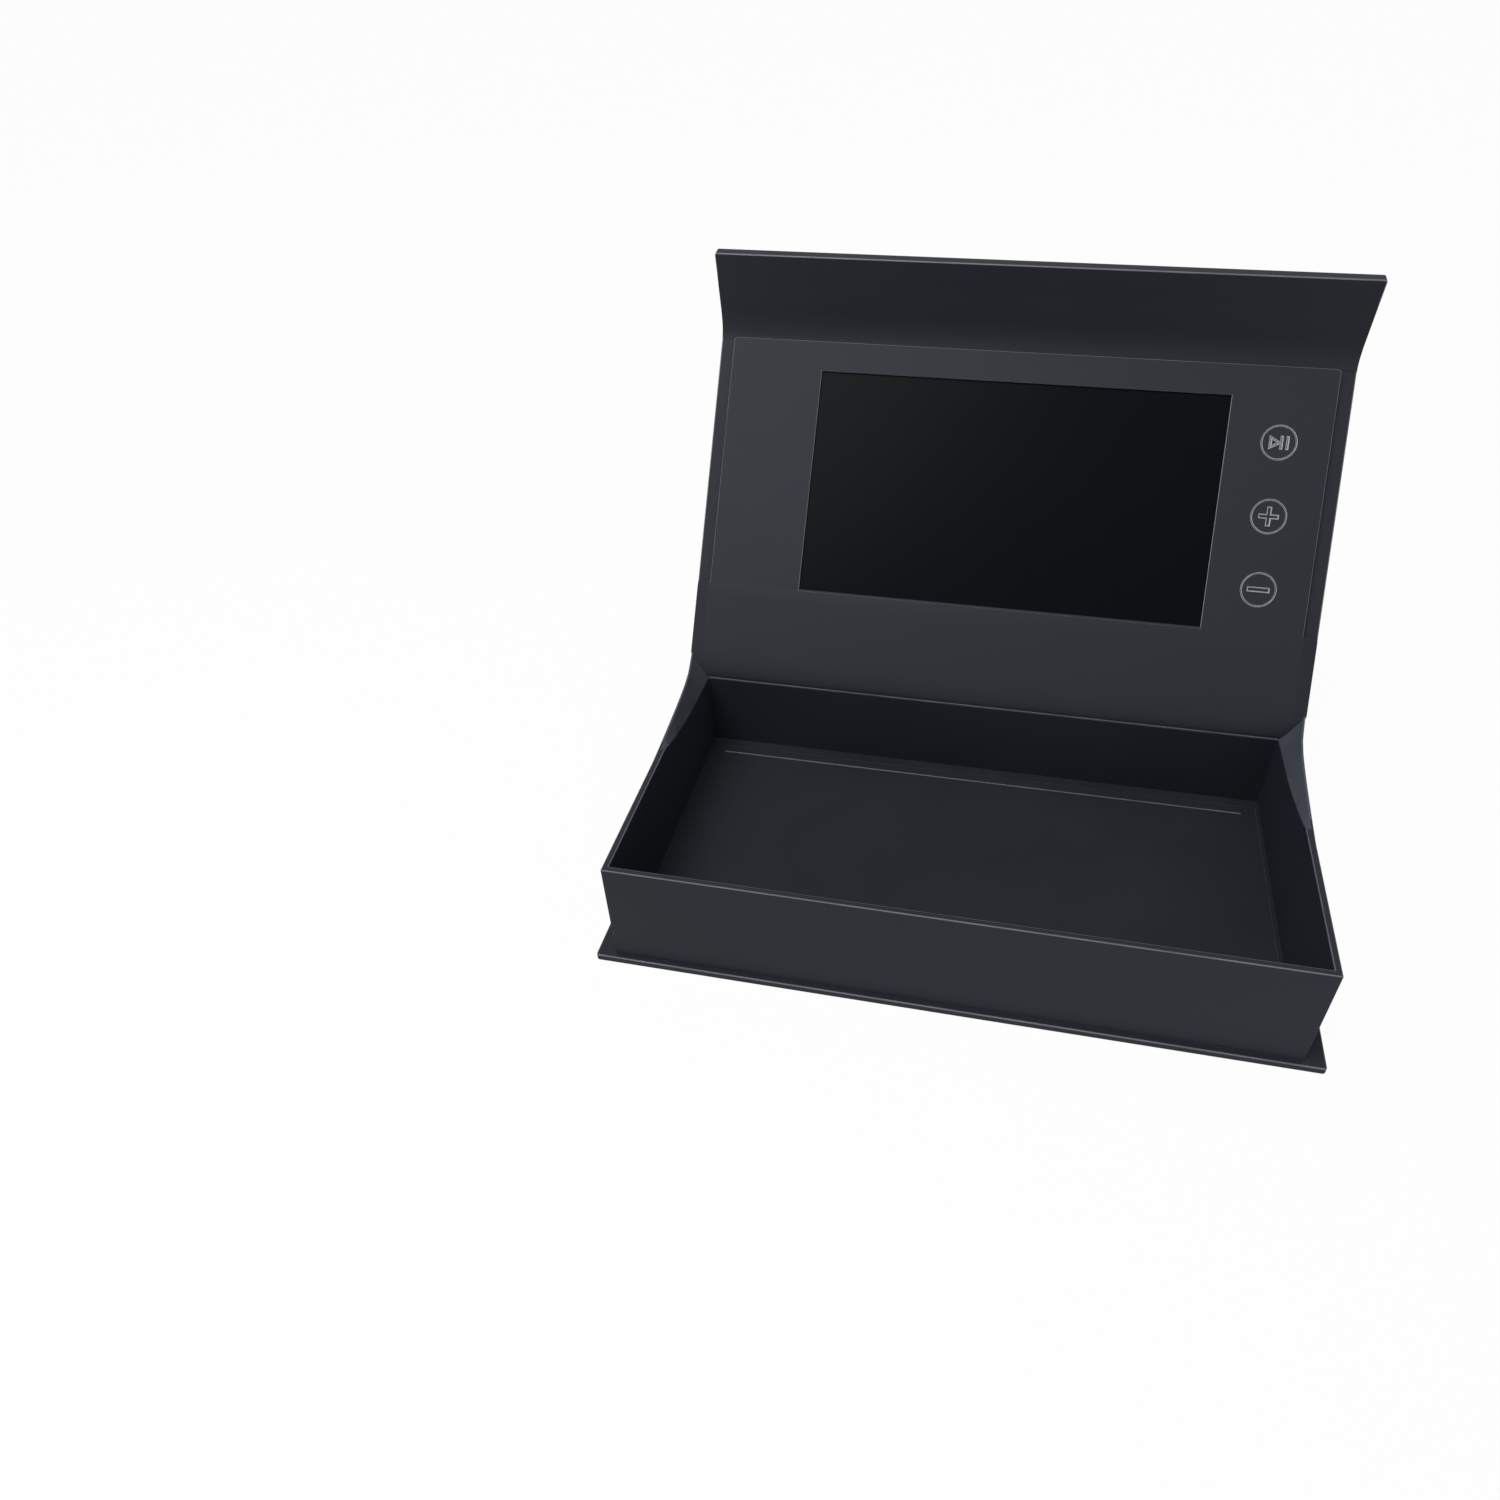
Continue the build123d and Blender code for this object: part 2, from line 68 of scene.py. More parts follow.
# --- modelling
class Pick(Enum):
    """What is selected in edit mode."""

    VERTS = "VERT"
    EDGES = "EDGE"
    FACES = "FACE"


class Body(Enum):
    """The bodies that the joints move."""

    CASE = "case"
    LID = "lid"
    FLAP = "flap"
    PLAY = "play"
    LOUDER = "volume_up"
    QUIETER = "volume_down"


@dataclass(frozen=True)
class Hinges:
    """Where the lid and its flap turn, in millimetres and degrees."""

    lid_y: float = 64.3
    lid_z: float = 45.1
    lid_lean: float = 36.25
    flap_along: float = 129.0
    flap_fold: float = 47.6
    face_drop: float = 2.0

    def lid_place(self) -> Matrix:
        """The lid's frame, at its hinge."""
        turn = Matrix.Rotation(math.radians(90 - self.lid_lean), 4, "X")
        return Matrix.Translation((0, self.lid_y, self.lid_z)) @ turn

    def flap_place(self) -> Matrix:
        """The flap's frame, at its hinge."""
        turn = Matrix.Rotation(math.radians(self.flap_fold), 4, "X")
        step = Matrix.Translation((0, self.flap_along, -self.face_drop))
        return self.lid_place() @ step @ turn

    def on_lid(self, y: float, z: float) -> Side:
        """The box's (y, z) of a point of the lid's frame."""
        point = self.lid_place() @ Vector((0, y, z))
        return point.y, point.z

    def on_flap(self, y: float, z: float) -> Side:
        """The box's (y, z) of a point of the flap's frame."""
        point = self.flap_place() @ Vector((0, y, z))
        return point.y, point.z


def start_clean() -> None:
    """Leaves edit mode and deselects everything."""
    if bpy.context.object and bpy.context.object.mode != "OBJECT":
        bpy.ops.object.mode_set(mode="OBJECT")
    bpy.ops.object.select_all(action="DESELECT")


class Shape:
    """A mesh being modelled, in millimetres, in a frame of its own."""

    def __init__(self, name: str) -> None:
        """Takes the primitive that was just added.

        Args:
            name: the piece's name.
        """
        self.obj = bpy.context.object
        self.obj.name = name
        self.obj.data.name = name

    @classmethod
    def block(cls, name: str, low: Point, high: Point) -> "Shape":
        """A block between two corners.

        Args:
            name: the piece's name.
            low: its lowest corner.
            high: its highest corner.

        Returns:
            The block.
        """
        middle = [(a + b) / 2 for a, b in zip(low, high)]
        size = [b - a for a, b in zip(low, high)]
        start_clean()
        bpy.ops.mesh.primitive_cube_add(size=1, location=middle, scale=size)
        bpy.ops.object.transform_apply(location=True, rotation=True, scale=True)
        return cls(name)

    @classmethod
    def disc(
        cls, name: str, radius: float, middle: Point, height: float, sides: int = 96
    ) -> "Shape":
        """A disc whose axis is Z.

        Args:
            name: the piece's name.
            radius: its radius.
            middle: its middle.
            height: its height.
            sides: how many sides stand for the circle.

        Returns:
            The disc.
        """
        start_clean()
        bpy.ops.mesh.primitive_cylinder_add(
            vertices=sides, radius=radius, depth=height, location=middle
        )
        bpy.ops.object.transform_apply(location=True, rotation=True, scale=True)
        return cls(name)

    @classmethod
    def drawn(cls, name: str, line: list[Side], width: float, closed: bool = False) -> "Shape":
        """A line drawn across the box by extruding a point, then widened along X.

        Args:
            name: the piece's name.
            line: the line's (y, z) points.
            width: how wide the piece is along X.
            closed: whether the line is a section to be filled.

        Returns:
            The sheet, or the solid of a closed line.
        """
        start_clean()
        bpy.ops.mesh.primitive_plane_add(size=1)
        shape = cls(name)
        # One corner of the plane is left, and becomes the line's first point.
        shape.pick(Pick.VERTS, lambda at, _: at.x > 0 or at.y > 0)
        bpy.ops.mesh.delete(type="VERT")
        bpy.ops.mesh.select_all(action="SELECT")
        y, z = line[0]
        bpy.ops.transform.translate(value=(0.5 - width / 2, y + 0.5, z))
        for (y0, z0), (y1, z1) in zip(line, line[1:]):
            step = {"value": (0, y1 - y0, z1 - z0)}
            bpy.ops.mesh.extrude_region_move(TRANSFORM_OT_translate=step)
        bpy.ops.mesh.select_all(action="SELECT")
        if closed:
            bpy.ops.mesh.edge_face_add()
        bpy.ops.mesh.extrude_region_move(TRANSFORM_OT_translate={"value": (width, 0, 0)})
        shape.mend()
        return shape

    def pick(self, kind: Pick, test: Test) -> None:
        """Goes into edit mode and selects what passes the test.

        Args:
            kind: whether vertices, edges or faces are selected.
            test: takes an item's middle and its normal, or an edge's direction.
        """
        bpy.context.view_layer.objects.active = self.obj
        bpy.ops.object.mode_set(mode="EDIT")
        bpy.ops.mesh.select_mode(type=kind.value)
        bpy.ops.mesh.select_all(action="DESELECT")
        mesh = bmesh.from_edit_mesh(self.obj.data)
        mesh.normal_update()
        if kind is Pick.VERTS:
            for vert in mesh.verts:
                vert.select_set(test(vert.co, vert.normal))
        elif kind is Pick.EDGES:
            for edge in mesh.edges:
                start, end = (vert.co for vert in edge.verts)
                edge.select_set(test((start + end) / 2, (end - start).normalized()))
        else:
            for face in mesh.faces:
                face.select_set(test(face.calc_center_median(), face.normal))
        mesh.select_flush_mode()
        bmesh.update_edit_mesh(self.obj.data)

    def pick_all(self) -> None:
        """Goes into edit mode and selects everything."""
        self.pick(Pick.FACES, lambda _at, _normal: True)

    def cut(self, axis: int, places: list[float]) -> None:
        """Cuts the mesh into more faces along planes square to one axis.

        Args:
            axis: 0, 1 or 2, for X, Y or Z.
            places: where the planes cross that axis.
        """
        for place in places:
            self.pick_all()
            co = [0.0, 0.0, 0.0]
            co[axis] = place
            no = [0.0, 0.0, 0.0]
            no[axis] = 1.0
            bpy.ops.mesh.bisect(plane_co=co, plane_no=no)

    def inset(self, width: float) -> None:
        """Insets the selected faces."""
        bpy.ops.mesh.inset(thickness=width, depth=0, use_boundary=True)

    def extrude(self, step: Point) -> None:
        """Extrudes the selected faces by a step."""
        bpy.ops.mesh.extrude_region_move(TRANSFORM_OT_translate={"value": step})

    def move(self, step: Point) -> None:
        """Moves what is selected by a step."""
        bpy.ops.transform.translate(value=step)

    def round_edges(self, test: Test, width: float, steps: int = 4) -> None:
        """Rounds the edges that pass a test.

        Args:
            test: takes an edge's middle and direction.
            width: how far the rounding reaches from the edge.
            steps: how many faces make it.
        """
        self.pick(Pick.EDGES, test)
        bpy.ops.mesh.bevel(offset=width, segments=steps, affect="EDGES", clamp_overlap=False)

    def mend(self) -> None:
        """Merges doubled points and points every face outwards."""
        self.pick_all()
        bpy.ops.mesh.remove_doubles(threshold=WELD)
        bpy.ops.mesh.select_all(action="SELECT")
        bpy.ops.mesh.normals_make_consistent(inside=False)
        bpy.ops.object.mode_set(mode="OBJECT")

    def apply(self, kind: str, settings: dict[str, object]) -> None:
        """Adds a modifier with its settings and applies it.

        Args:
            kind: the modifier's type.
            settings: its settings by name.
        """
        start_clean()
        modifier = self.obj.modifiers.new(kind.title(), kind)
        for key, value in settings.items():
            setattr(modifier, key, value)
        bpy.context.view_layer.objects.active = self.obj
        bpy.ops.object.modifier_apply(modifier=modifier.name)

    def take_away(self, cutter: "Shape") -> None:
        """Cuts another shape out of this one, and removes that shape."""
        self.apply("BOOLEAN", {"operation": "DIFFERENCE", "object": cutter.obj, "solver": "EXACT"})
        bpy.data.objects.remove(cutter.obj)

    def soften(self, width: float, steps: int = 3, edge_slot: int = 1, angle: float = 30.0) -> None:
        """Rounds every sharp edge and gives the rounding the second material.

        Args:
            width: how far the rounding reaches from the edge.
            steps: how many faces make it.
            edge_slot: which of the piece's materials the rounding takes.
            angle: the smallest angle that is rounded, in degrees.
        """
        self.apply(
            "BEVEL",
            {
                "width": width,
                "segments": steps,
                "limit_method": "ANGLE",
                "angle_limit": math.radians(angle),
                "use_clamp_overlap": False,
                "material": edge_slot,
            },
        )

    def dress(self, materials: list[bpy.types.Material]) -> None:
        """Gives the piece its materials, the edges' one second."""
        self.obj.data.materials.clear()
        for material in materials:
            self.obj.data.materials.append(material)

    def finish(
        self,
        body: Body | None,
        slot: str,
        stands_for: tuple[str, ...],
        where: Matrix = Matrix.Identity(4),
    ) -> None:
        """Sets the piece in the box's frame, in metres, and hides the nodes that it stands for.

        Args:
            body: the body that it moves with, or None for a paper hinge.
            slot: the record's material slot; not used.
            stands_for: the nodes that it hides.
            where: the frame that it was modelled in, if not the box's.
        """
        start_clean()
        obj = self.obj
        obj.matrix_world = Matrix.Scale(MM, 4) @ where
        obj.select_set(True)
        bpy.context.view_layer.objects.active = obj
        bpy.ops.object.transform_apply(location=True, rotation=True, scale=True)
        bpy.ops.object.shade_smooth_by_angle(angle=math.radians(SMOOTH_ANGLE))
        self.apply("WEIGHTED_NORMAL", {"keep_sharp": True})
        if body:
            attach(obj, body.value)
        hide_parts(*stands_for)
        carrier = body.value if body else "two bodies"
        log.info("%s: %d faces, on %s", obj.name, len(obj.data.polygons), carrier)


def arc(corner: Side, start: Side, end: Side, steps: int) -> list[Side]:
    """A smooth curve from start to end that leaves each towards the corner.

    Args:
        corner: the corner that the curve rounds off.
        start: its first point.
        end: its last point.
        steps: how many runs it has.

    Returns:
        The curve's points.
    """
    points = []
    for step in range(steps + 1):
        t = step / steps
        a, b, c = (1 - t) ** 2, 2 * t * (1 - t), t**2
        points.append(tuple(a * s + b * m + c * e for s, m, e in zip(start, corner, end)))
    return points


# --- finishes
def linear(code: str) -> tuple[float, float, float, float]:
    """The linear colour of an sRGB hex code.

    Args:
        code: six hex digits.

    Returns:
        Red, green, blue and 1.
    """
    parts = [int(code[i : i + 2], 16) / 255 for i in (0, 2, 4)]
    line = [c / 12.92 if c <= 0.04045 else ((c + 0.055) / 1.055) ** 2.4 for c in parts]
    return (line[0], line[1], line[2], 1.0)


def add_node(
    material: Host,
    kind: str,
    settings: dict[str, object] | None = None,
    sockets: Values | None = None,
    stops: tuple[tuple[float, str], ...] = (),
) -> bpy.types.Node:
    """Adds a node with its settings, and sets or links its sockets.

    Args:
        material: what the node belongs to.
        kind: the node's type.
        settings: its own settings by name.
        sockets: a value for each socket, or the output socket that feeds it.
        stops: a place and a hex colour for each of a ramp's two stops.

    Returns:
        The node.
    """
    tree = material.node_tree
    node = tree.nodes.new(kind)
    for key, value in (settings or {}).items():
        setattr(node, key, value)
    for key, value in (sockets or {}).items():
        if isinstance(value, bpy.types.NodeSocket):
            tree.links.new(value, node.inputs[key])
        else:
            node.inputs[key].default_value = value
    if stops:
        for element, (place, code) in zip(node.color_ramp.elements, stops):
            element.position = place
            element.color = linear(code)
    return node


def blank(block: Host) -> Adder:
    """Clears a new material's or world's nodes.

    Args:
        block: the material or the world.

    Returns:
        add_node for it.
    """
    block.use_nodes = True
    block.node_tree.nodes.clear()
    return partial(add_node, block)


@dataclass(frozen=True)
class Finish:
    """A surface whose colour and relief vary in a fine noise of a real size."""

    name: str
    light: str
    dark: str
    roughness: float
    grain_mm: float
    relief_mm: float = 0.01
    cloud_mm: float = 60.0
    metallic: float = 0.0
    ior: float = 1.5
    stretch: Point = (1.0, 1.0, 1.0)
    gloss: float = 0.5
    grain_share: float = 0.35
    swing: float = 0.04

    def make(self) -> bpy.types.Material:
        """Makes the material.

        Returns:
            The material, named for the finish.
        """
        material = bpy.data.materials.new(self.name)
        add = blank(material)
        place = add("ShaderNodeTexCoord").outputs["Object"]
        along = {"Vector": place, "Scale": self.stretch}
        grain_at = add("ShaderNodeMapping", sockets=along).outputs["Vector"]
        cloud, grain = (
            add(
                "ShaderNodeTexNoise",
                sockets={"Vector": at, "Scale": 1 / (size * MM), "Detail": detail},
            ).outputs["Fac"]
            for at, size, detail in ((place, self.cloud_mm, 3.0), (grain_at, self.grain_mm, 4.0))
        )
        mixed = add(
            "ShaderNodeMath",
            {"operation": "MULTIPLY_ADD"},
            {0: grain, 1: self.grain_share, 2: cloud},
        ).outputs["Value"]
        stops = ((0.45, self.dark), (0.9, self.light))
        colour = add("ShaderNodeValToRGB", sockets={"Fac": mixed}, stops=stops).outputs["Color"]
        rough = add(
            "ShaderNodeMapRange",
            sockets={
                "Value": cloud,
                "From Min": 0.3,
                "From Max": 0.7,
                "To Min": self.roughness - self.swing,
                "To Max": self.roughness + self.swing,
            },
        ).outputs["Result"]
        relief = add(
            "ShaderNodeBump",
            sockets={"Height": grain, "Strength": 0.5, "Distance": self.relief_mm * MM},
        ).outputs["Normal"]
        sockets: Values = {
            "Base Color": colour,
            "Roughness": rough,
            "Normal": relief,
            "Metallic": self.metallic,
            "Specular IOR Level": self.gloss,
        }
        if not self.metallic:
            sockets["IOR"] = self.ior
        shader = add("ShaderNodeBsdfPrincipled", sockets=sockets).outputs["BSDF"]
        add("ShaderNodeOutputMaterial", sockets={"Surface": shader})
        return material


@dataclass(frozen=True)
class BoardTracks:
    """Green solder mask on a circuit board, with copper tracks under it."""

    name: str = "solder_masked_board"
    mask: str = "14482b"
    track: str = "1f6a3d"
    track_mm: float = 1.2
    copper_mm: float = 0.035

    def make(self) -> bpy.types.Material:
        """Makes the material.

        Returns:
            The material, with tracks as the walls between square cells.
        """
        material = bpy.data.materials.new(self.name)
        add = blank(material)
        place = add("ShaderNodeTexCoord").outputs["Object"]
        cells = add(
            "ShaderNodeTexVoronoi",
            {"feature": "DISTANCE_TO_EDGE", "voronoi_dimensions": "3D"},
            {"Vector": place, "Scale": 1 / (self.track_mm * 3 * MM), "Randomness": 0.35},
        ).outputs["Distance"]
        stops = ((0.06, self.track), (0.09, self.mask))
        colour = add("ShaderNodeValToRGB", sockets={"Fac": cells}, stops=stops).outputs["Color"]
        relief = add(
            "ShaderNodeBump",
            {"invert": True},
            {"Height": cells, "Strength": 0.3, "Distance": self.copper_mm * MM},
        ).outputs["Normal"]
        shader = add(
            "ShaderNodeBsdfPrincipled",
            sockets={"Base Color": colour, "Normal": relief, "Roughness": 0.35, "IOR": 1.5},
        ).outputs["BSDF"]
        add("ShaderNodeOutputMaterial", sockets={"Surface": shader})
        return material


class Finishes:
    """Every finish of the box, made once."""

    def __init__(self) -> None:
        """Makes the materials."""
        # Soft-touch laminated black paper over greyboard: a dull, even, slightly blue black.
        self.wrap = Finish(
            "soft_touch_wrap_paper", "22252d", "1b1e25", 0.62, 0.5, 0.006, 90.0, gloss=0.22
        ).make()
        # Rounded edges, paler and a little polished: partly worn film, partly painted highlight.
        self.rubbed_and_highlit = Finish(
            "rubbed_and_highlit_wrap_edge", "6a6d77", "52555e", 0.45, 0.8, 0.004, 12.0
        ).make()
        self.on_boards = [self.wrap, self.rubbed_and_highlit]
        # Paler film for the ears' leaning facets: painted light where they face the lamp.
        self.drawn = Finish(
            "painted_light_ear_paper", "50545e", "42454e", 0.6, 0.5, 0.006, 30.0, gloss=0.22
        ).make()
        # Uncoated black lining paper: duller, with a fibre that shows as faint mottling.
        self.lining = Finish(
            "black_lining_paper", "23262d", "1b1e24", 0.75, 0.35, 0.012, 40.0, gloss=0.22
        ).make()
        # The panel's smoother printed paper.
        self.panel = Finish(
            "laminated_panel_paper", "22252d", "1b1e26", 0.58, 0.5, 0.005, 110.0, gloss=0.22
        ).make()
        # A pale edge for the caps, their holes and symbols: painted highlight.
        self.cut = Finish("painted_highlight_edge", "b6b9c1", "9da0a8", 0.5, 0.4, 0.01, 6.0).make()
        # Cover glass of the display over its dark polariser: glossy and nearly black.
        self.glass = Finish(
            "display_glass", "0a0c11", "07090d", 0.3, 3.0, 0.0005, 200.0, ior=1.52, gloss=0.03
        ).make()
        # Moulded light guide and its white film.
        self.light_guide = Finish("white_light_guide_film", "d4d8dc", "c6cacf", 0.3, 2.0).make()
        self.foam = Finish("black_foam_strip", "232325", "161618", 0.95, 0.6, 0.15).make()
        self.flex = Finish("polyimide_flex_film", "9c6420", "7d4f18", 0.25, 1.0, 0.004).make()
        self.board = BoardTracks().make()
        self.resin = Finish("moulded_chip_resin", "1d1d1f", "141416", 0.45, 0.3, 0.01).make()
        # Nickel-plated folded steel.
        self.plated = Finish(
            "nickel_plated_steel", "c3c5c9", "a9abb0", 0.28, 0.4, 0.004, metallic=1.0,
            stretch=(1.0, 6.0, 1.0),
        ).make()
        self.pouch = Finish(
            "laminated_foil_pouch", "b9bcc0", "a4a7ab", 0.32, 1.5, 0.03, metallic=1.0
        ).make()
        self.magnet = Finish(
            "nickel_plated_magnet", "c9cbce", "b4b6ba", 0.18, 0.6, 0.002, metallic=1.0
        ).make()
        self.plastic = Finish("moulded_black_plastic", "222224", "19191b", 0.5, 0.4, 0.01).make()


# --- case
@dataclass
class Case:
    """The wrapped base and spine, the tray on them and its lining."""

    finishes: Finishes
    cover_width: float = 239.0
    front: float = -63.5
    base_thickness: float = 2.7
    spine_front: float = 60.8
    spine_back: float = 63.5
    spine_top: float = 35.7
    edge: float = 0.4
    tray_edge: float = 0.32
    pad_edge: float = 0.16
    groove: float = 0.35
    base_groove: Point = (1.6, 1.1, 0.5)
    back_groove: tuple[float, ...] = (-0.2, 0.3, 0.9, 1.4)
    corner: float = 1.0
    tray_width: float = 225.5
    tray_front: float = -61.7
    tray_top: float = 43.7
    wall: float = 2.15
    rim_skin: float = 0.8
    dip_start: float = 1.0
    dip_end: float = 33.0
    dip_low: float = 37.0
    dip_bow: float = 0.45
    ear_start: float = -12.0
    ear_foot: float = 34.0
    ear_back: float = 3.6
    ear_lean: Side = (3.2, 1.2)
    ear_curl: Side = (2.9, 8.0)
    rim_rows: tuple[float, ...] = (-6.0, 1.0, 6.0, 11.0, 16.0, 21.0, 27.0, 33.0, 41.0, 49.0, 54.0)
    floor_top: float = 4.7
    pad_top: float = 5.7
    pad_half_width: float = 108.95
    pad_back: float = 53.3
    line_back: float = 4.6
    line_width: float = 0.5
    line_depth: float = 0.2
    line_inset: float = 6.0

    def build(self) -> None:
        """Builds and dresses the case's pieces."""
        self.cover()
        self.tray()
        self.pad()

    def cover(self) -> None:
        """The base board and the spine in one wrap, with a groove where they meet."""
        near, floor, far = (self.spine_front - back for back in self.base_groove)
        foot, low, high, top = (self.base_thickness + up for up in self.back_groove)
        section = [
            (self.front, 0.0),
            (near, 0.0),
            (floor, self.groove),
            (far, self.groove),
            (self.spine_front, 0.0),
            (self.spine_back, 0.0),
            (self.spine_back, foot),
            (self.spine_back - self.groove, low),
            (self.spine_back - self.groove, high),
            (self.spine_back, top),
            (self.spine_back, self.spine_top),
            (self.spine_front, self.spine_top),
            (self.spine_front, self.base_thickness),
            (self.front, self.base_thickness),
        ]
        shape = Shape.drawn("case_cover_wrap", section, self.cover_width, closed=True)
        half = self.cover_width / 2
        shape.round_edges(
            lambda at, way: abs(abs(at.x) - half) < 0.01
            and abs(way.z) > ALONG
            and abs(at.y - self.front) < 0.01,
            self.corner,
        )
        shape.dress(self.finishes.on_boards)
        shape.soften(self.edge)
        shape.finish(Body.CASE, "wrapped_board", ("base_board", "spine_board"))

    def rim_height(self, y: float) -> float:
        """The inner rim's height along a side wall, from full to the back wall's.

        Args:
            y: the place along the wall.

        Returns:
            The height there.
        """
        if y <= self.dip_start:
            return self.tray_top
        if y >= self.dip_end:
            share = (y - self.dip_end) / (self.spine_front - self.dip_end)
            return self.dip_low + (self.spine_top - self.dip_low) * min(1.0, share)
        t = (y - self.dip_start) / (self.dip_end - self.dip_start)
        return self.tray_top + (self.dip_low - self.tray_top) * (
            (1 - self.dip_bow) * t + self.dip_bow * t * (2 - t)
        )

    def ear_reach(self, y: float) -> float:
        """How far the ear stands out from a side wall, widening towards the hinge.

        Args:
            y: the place along the wall.

        Returns:
            The ear's reach there.
        """
        share = max(0.0, (y - self.ear_start) / (self.spine_front - self.ear_start))
        (lean, bow), (curl, hook) = self.ear_lean, self.ear_curl
        return lean * share**bow + curl * share**hook

    def tray(self) -> None:
        """Four walls in one skin; the side rims dip towards the hinge below paper ears."""
        half = self.tray_width / 2
        low = (-half, self.tray_front, self.base_thickness)
        shape = Shape.block("tray_walls", low, (half, self.spine_front, self.tray_top))
        shape.pick(Pick.FACES, lambda _at, normal: abs(normal.z) > ALONG)
        shape.inset(self.rim_skin)
        shape.inset((self.wall - self.rim_skin) / 2)
        shape.inset((self.wall - self.rim_skin) / 2)
        bpy.ops.mesh.bridge_edge_loops()
        shape.mend()
        skin, inner = half - self.rim_skin, half - self.wall
        shape.cut(0, [-skin, -inner, inner, skin])
        shape.cut(1, list(self.rim_rows))
        shape.cut(2, [self.ear_foot])
        for row in self.rim_rows:
            self.dip_row(shape, skin, inner, row, 0.2)
        # The walls' back ends, where two rows of points lie close together.
        self.dip_row(shape, skin, inner, self.spine_front - 1.0, 1.3)
        shape.mend()
        # The second finish is the paler edge (wear and painted highlight), the third the ears'
        # painted light.
        shape.dress([self.finishes.wrap, self.finishes.rubbed_and_highlit, self.finishes.drawn])
        shape.soften(self.tray_edge)
        self.finish_rims(shape, inner)
        walls = ("tray_front_wall", "tray_back_wall", "tray_left_wall", "tray_right_wall")
        ears = ("left_hinge_ear", "right_hinge_ear")
        shape.finish(Body.CASE, "wrapped_board", walls + ears)

    def finish_rims(self, shape: Shape, inner: float) -> None:
        """Keeps the paler edge finish to the rims and gives the ears' leaning facets painted light.

        Args:
            shape: the tray's walls.
            inner: the side walls' inner face.
        """
        for face in shape.obj.data.polygons:
            at, normal = face.center, face.normal
            # The paler edge finish, wear and painted highlight, stays only on edges facing up or
            # down.
            if face.material_index == 1 and abs(normal.z) < 0.2:
                face.material_index = 0
            dipped = at.y > self.dip_start - 2 and abs(at.x) > inner - 0.2
            leaning = 0.1 < normal.z < 0.93 and normal.x * at.x < 0
            # Painted light: the ears' leaning facets take the paler ear paper.
            if dipped and leaning and at.z > self.ear_foot:
                face.material_index = 2

    def dip_row(self, shape: Shape, skin: float, inner: float, row: float, span: float) -> None:
        """Dips the rims' inner edge at one place and draws the ear out at the outer one.

        Args:
            shape: the tray's walls.
            skin: how far out the rim's outer skin begins.
            inner: the side walls' inner face.
            row: the place along the walls.
            span: how far on each side of it the points are moved.
        """
        drop = self.tray_top - self.rim_height(row + span)
        reach = self.ear_reach(row + span)
        back = self.ear_back if span > 1 else 0.0
        middle = (skin + inner) / 2
        for side in (-1, 1):
            for low, high, step in (
                (skin - 0.1, skin + 2, (side * reach, back, 0)),
                (middle - 0.2, middle + 0.2, (side * reach / 2, back / 2, -drop / 2)),
                (-0.1, inner + 0.1, (0, 0, -drop)),
            ):
                shape.pick(
                    Pick.VERTS,
                    lambda at, _n: at.z > self.tray_top - 0.01
                    and low <= at.x * side <= high
                    and abs(at.y - row) < span,
                )
                shape.move(step)

    def pad(self) -> None:
        """The lining board on the tray's floor, with a pressed line near its back."""
        half = self.pad_half_width
        low = (-half, self.tray_front + self.wall, self.floor_top)
        shape = Shape.block("tray_lining_board", low, (half, self.pad_back, self.pad_top))
        line = self.pad_back - self.line_back
        end = half - self.line_inset
        shape.cut(1, [line, line + self.line_width])
        shape.cut(0, [-end, end])
        shape.pick(
            Pick.FACES,
            lambda at, normal: normal.z > ALONG
            and line < at.y < line + self.line_width
            and abs(at.x) < end,
        )
        shape.extrude((0, 0, -self.line_depth))
        shape.mend()
        shape.dress([self.finishes.lining, self.finishes.rubbed_and_highlit])
        shape.soften(self.pad_edge, 2, angle=60)
        shape.finish(Body.CASE, "tray_lining", ("tray_liner",))


